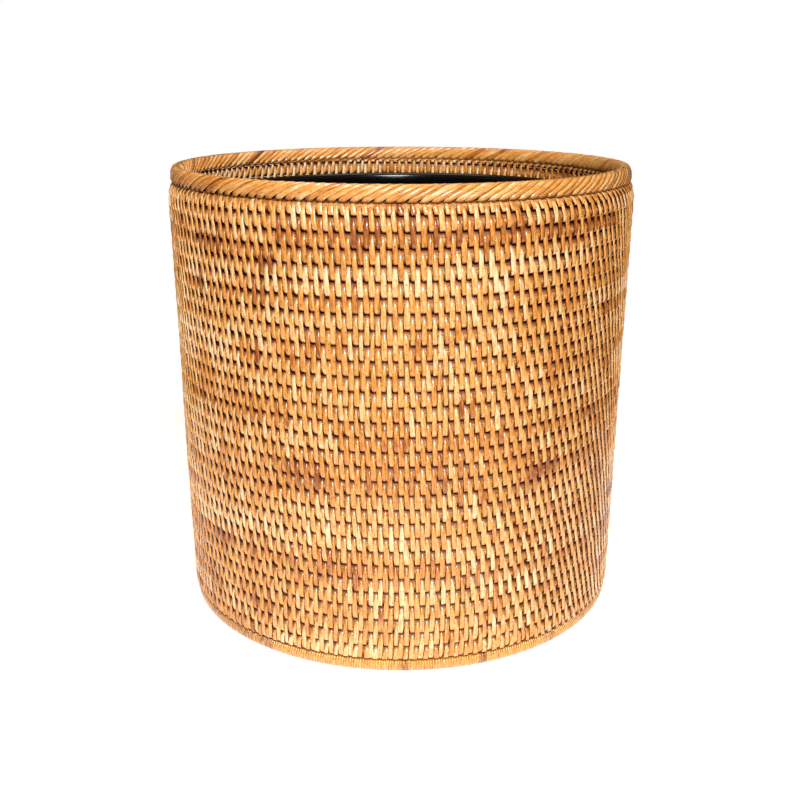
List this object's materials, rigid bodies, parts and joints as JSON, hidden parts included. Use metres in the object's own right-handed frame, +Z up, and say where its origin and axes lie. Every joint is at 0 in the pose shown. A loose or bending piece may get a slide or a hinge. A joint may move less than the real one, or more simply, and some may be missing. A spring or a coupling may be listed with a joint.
{
  "type": "wastebasket",
  "caption": "Round coiled rattan wastebasket with lashed rods, a wrapped rim and foot hoop, and a lift-out black steel liner.",
  "frame": {"origin": "centre of the foot hoop, on the surface the basket stands on", "axes": "+Z up along the basket's axis; -Y is the side seen first"},
  "size_m": [0.2902, 0.2902, 0.28],
  "materials": {
    "rattan_core": "smoothed rattan core, dry and streaky",
    "rattan_peel": "split rattan peel, semi-gloss honey varnish with darker stained strips",
    "foot_peel": "fine round peel, glossy varnish",
    "black_enamel": "gloss black baked enamel on steel sheet",
    "bare_wire": "drawn steel wire"
  },
  "bodies": {
    "basket": {"foot_hoop": "rattan_core", "foot_wrapping": "foot_peel", "floor_rod_1": "rattan_core", "floor_rod_2": "rattan_core", "floor_lashing_under": "rattan_peel", "floor_lashing_over": "rattan_peel", "wall_rod_01": "rattan_core", "wall_rod_02": "rattan_core", "wall_rod_03": "rattan_core", "wall_rod_04": "rattan_core", "wall_rod_05": "rattan_core", "wall_rod_06": "rattan_core", "wall_rod_07": "rattan_core", "wall_rod_08": "rattan_core", "wall_rod_09": "rattan_core", "wall_rod_10": "rattan_core", "wall_lashing_outside": "rattan_peel", "wall_lashing_inside": "rattan_peel", "rim_hoop": "rattan_core", "rim_wrapping": "rattan_peel"},
    "liner": {"liner_pail": "black_enamel", "liner_bottom": "black_enamel", "liner_rim_wire": "bare_wire"}
  },
  "joints": [
    {"name": "liner_lift", "type": "slide", "parent": "basket", "child": "liner", "axis": [0, 0, 1], "range_m": [0, 0.28]}
  ]
}
